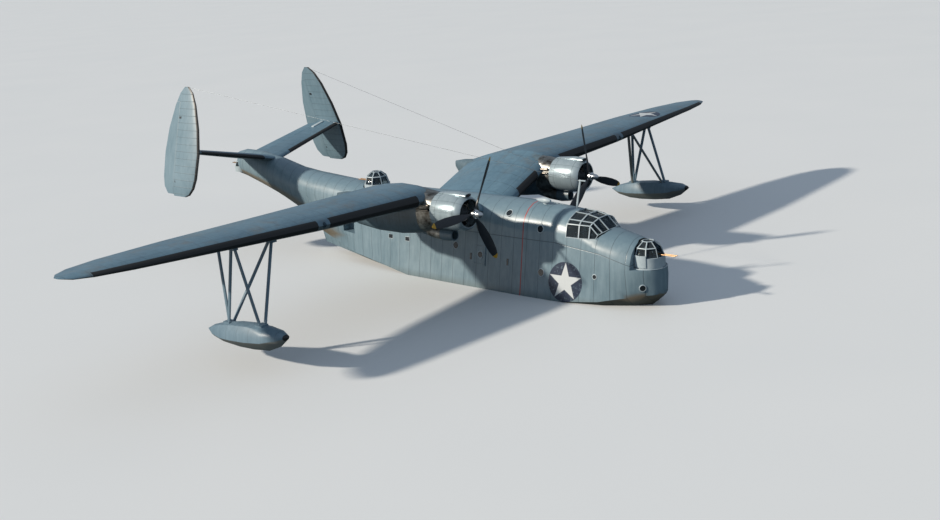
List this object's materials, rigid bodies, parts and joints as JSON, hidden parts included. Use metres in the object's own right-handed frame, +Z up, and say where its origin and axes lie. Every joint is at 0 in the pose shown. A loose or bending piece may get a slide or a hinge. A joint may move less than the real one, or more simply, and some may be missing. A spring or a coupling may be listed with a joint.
{
  "type": "twin-engined patrol flying boat",
  "caption": "Gull-winged flying boat with a stepped hull, radial engines, wingtip floats, canted tail fins and moving propellers, control surfaces, turrets and hatches.",
  "frame": {"origin": "on the centreline at the waterline, below the front spar of the wing", "axes": "+X forward, +Y to port, +Z up"},
  "size_m": [25.24, 35.96, 8.8779],
  "materials": {
    "paint": "pale blue-grey satin paint on riveted light-alloy skin",
    "cowl_metal": "bright grey semi-gloss paint on spun light alloy",
    "engine_metal": "dark oily engine castings",
    "blade_paint": "near-black satin paint with yellow blade tips",
    "glazing": "clear moulded acrylic panes",
    "cabin_finish": "flat green primer on cabin fittings",
    "gun_steel": "browned gun steel",
    "boot_rubber": "matt black de-icing boot rubber",
    "marking_blue": "dark blue marking paint",
    "marking_white": "white marking paint",
    "stripe_red": "thin red warning stripe",
    "bare_alloy": "polished or heat-stained bare light alloy",
    "wire_steel": "stranded steel aerial wire"
  },
  "bodies": {
    "airframe": {"hull_bow": "paint", "hull_cockpit": "paint", "hull_fore": "paint", "hull_hatch_bay": "paint", "hull_middle": "paint", "hull_waist": "paint", "hull_tail": "paint", "inner_wing_port": "paint", "inner_wing_starboard": "paint", "outer_wing_port": "paint", "outer_wing_starboard": "paint", "tailplane": "paint", "fin_port": "paint", "fin_starboard": "paint", "nacelle_port": "paint", "nacelle_starboard": "paint", "cowl_port": "cowl_metal", "cowl_starboard": "cowl_metal", "oil_cooler_port": "paint", "oil_cooler_starboard": "paint", "engine_port": "engine_metal", "engine_starboard": "engine_metal", "float_port": "paint", "float_starboard": "paint", "float_struts_port": "paint", "float_struts_starboard": "paint", "canopy_frame": "paint", "canopy_glass": "glazing", "pilot_seat_port": "cabin_finish", "pilot_seat_starboard": "cabin_finish", "instrument_panel": "cabin_finish", "aerial_mast": "paint", "direction_finder": "paint"},
    "prop_port": {"propeller_port": "blade_paint"},
    "prop_starboard": {"propeller_starboard": "blade_paint"},
    "aileron_port": {"aileron_port": "paint"},
    "aileron_starboard": {"aileron_starboard": "paint"},
    "flap_port": {"flap_port": "paint"},
    "flap_starboard": {"flap_starboard": "paint"},
    "elevator_port": {"elevator_port": "paint"},
    "elevator_starboard": {"elevator_starboard": "paint"},
    "rudder_port": {"rudder_port": "paint"},
    "rudder_starboard": {"rudder_starboard": "paint"},
    "nose_turret": {"nose_turret": "paint", "nose_dome": "glazing"},
    "nose_guns": {"nose_guns": "gun_steel"},
    "dorsal_turret": {"dorsal_turret": "paint", "dorsal_dome": "glazing"},
    "dorsal_guns": {"dorsal_guns": "gun_steel"},
    "tail_turret": {"tail_turret": "paint", "tail_dome": "glazing"},
    "tail_guns": {"tail_guns": "gun_steel"},
    "hatch_port": {"side_hatch_port": "paint"},
    "hatch_starboard": {"side_hatch_starboard": "paint"}
  },
  "joints": [
    {"name": "prop_port_spin", "type": "hinge", "parent": "airframe", "child": "prop_port", "pos_m": [3, 3.57, 3.65], "axis": [1, 0, 0], "continuous": true},
    {"name": "prop_starboard_spin", "type": "hinge", "parent": "airframe", "child": "prop_starboard", "pos_m": [3, -3.57, 3.65], "axis": [1, 0, 0], "continuous": true},
    {"name": "aileron_port_hinge", "type": "hinge", "parent": "airframe", "child": "aileron_port", "pos_m": [-1.94, 10.45, 4.23924], "axis": [0.0737, 0.9967, 0.0336], "range_deg": [-20, 20]},
    {"name": "aileron_starboard_hinge", "type": "hinge", "parent": "airframe", "child": "aileron_starboard", "pos_m": [-1.94, -10.45, 4.23924], "axis": [0.0737, -0.9967, 0.0336], "range_deg": [-20, 20]},
    {"name": "flap_port_hinge", "type": "hinge", "parent": "airframe", "child": "flap_port", "pos_m": [-2.32, 4.4, 4.03915], "axis": [-0.0619, -0.9975, -0.0328], "range_deg": [0, 40]},
    {"name": "flap_starboard_hinge", "type": "hinge", "parent": "airframe", "child": "flap_starboard", "pos_m": [-2.32, -4.4, 4.03915], "axis": [0.0619, -0.9975, 0.0328], "range_deg": [0, 40]},
    {"name": "elevator_port_hinge", "type": "hinge", "parent": "airframe", "child": "elevator_port", "pos_m": [-13.98, 0.62, 4.17352], "axis": [0.0517, 0.9694, 0.24], "range_deg": [-15, 25]},
    {"name": "elevator_starboard_hinge", "type": "hinge", "parent": "airframe", "child": "elevator_starboard", "pos_m": [-13.98, -0.62, 4.17352], "axis": [-0.0517, 0.9694, -0.24], "range_deg": [-15, 25]},
    {"name": "rudder_port_hinge", "type": "hinge", "parent": "airframe", "child": "rudder_port", "pos_m": [-14.25, 4.72508, 3.13811], "axis": [0, -0.2487, 0.9686], "range_deg": [-25, 25]},
    {"name": "rudder_starboard_hinge", "type": "hinge", "parent": "airframe", "child": "rudder_starboard", "pos_m": [-14.25, -4.72508, 3.13811], "axis": [0, 0.2487, 0.9686], "range_deg": [-25, 25]},
    {"name": "nose_turret_yaw", "type": "hinge", "parent": "airframe", "child": "nose_turret", "pos_m": [8.1, 0, 1.45], "axis": [0, 0, 1], "range_deg": [-75, 75]},
    {"name": "nose_guns_elevation", "type": "hinge", "parent": "nose_turret", "child": "nose_guns", "pos_m": [8.1, 0, 1.94], "axis": [0, -1, 0], "range_deg": [-5, 45]},
    {"name": "dorsal_turret_yaw", "type": "hinge", "parent": "airframe", "child": "dorsal_turret", "pos_m": [-5.8, 0, 3.06], "axis": [0, 0, 1], "continuous": true},
    {"name": "dorsal_guns_elevation", "type": "hinge", "parent": "dorsal_turret", "child": "dorsal_guns", "pos_m": [-5.8, 0, 3.49], "axis": [0, 1, 0], "range_deg": [0, 45]},
    {"name": "tail_turret_yaw", "type": "hinge", "parent": "airframe", "child": "tail_turret", "pos_m": [-15.17, 0, 3.27], "axis": [0, 0, 1], "range_deg": [-70, 70]},
    {"name": "tail_guns_elevation", "type": "hinge", "parent": "tail_turret", "child": "tail_guns", "pos_m": [-15.17, 0, 3.62], "axis": [0, 1, 0], "range_deg": [-5, 40]},
    {"name": "hatch_port_hinge", "type": "hinge", "parent": "airframe", "child": "hatch_port", "pos_m": [1.345, 1.28427, 1.3139], "axis": [0, 0.1771, -0.9842], "range_deg": [0, 100]},
    {"name": "hatch_starboard_hinge", "type": "hinge", "parent": "airframe", "child": "hatch_starboard", "pos_m": [1.345, -1.28427, 1.3139], "axis": [0, 0.1771, 0.9842], "range_deg": [0, 100]}
  ],
  "couplings": [
    {"joint": "aileron_starboard_hinge", "follows": "aileron_port_hinge", "ratio": 1},
    {"joint": "flap_starboard_hinge", "follows": "flap_port_hinge", "ratio": 1},
    {"joint": "elevator_starboard_hinge", "follows": "elevator_port_hinge", "ratio": 1},
    {"joint": "rudder_starboard_hinge", "follows": "rudder_port_hinge", "ratio": 1}
  ]
}
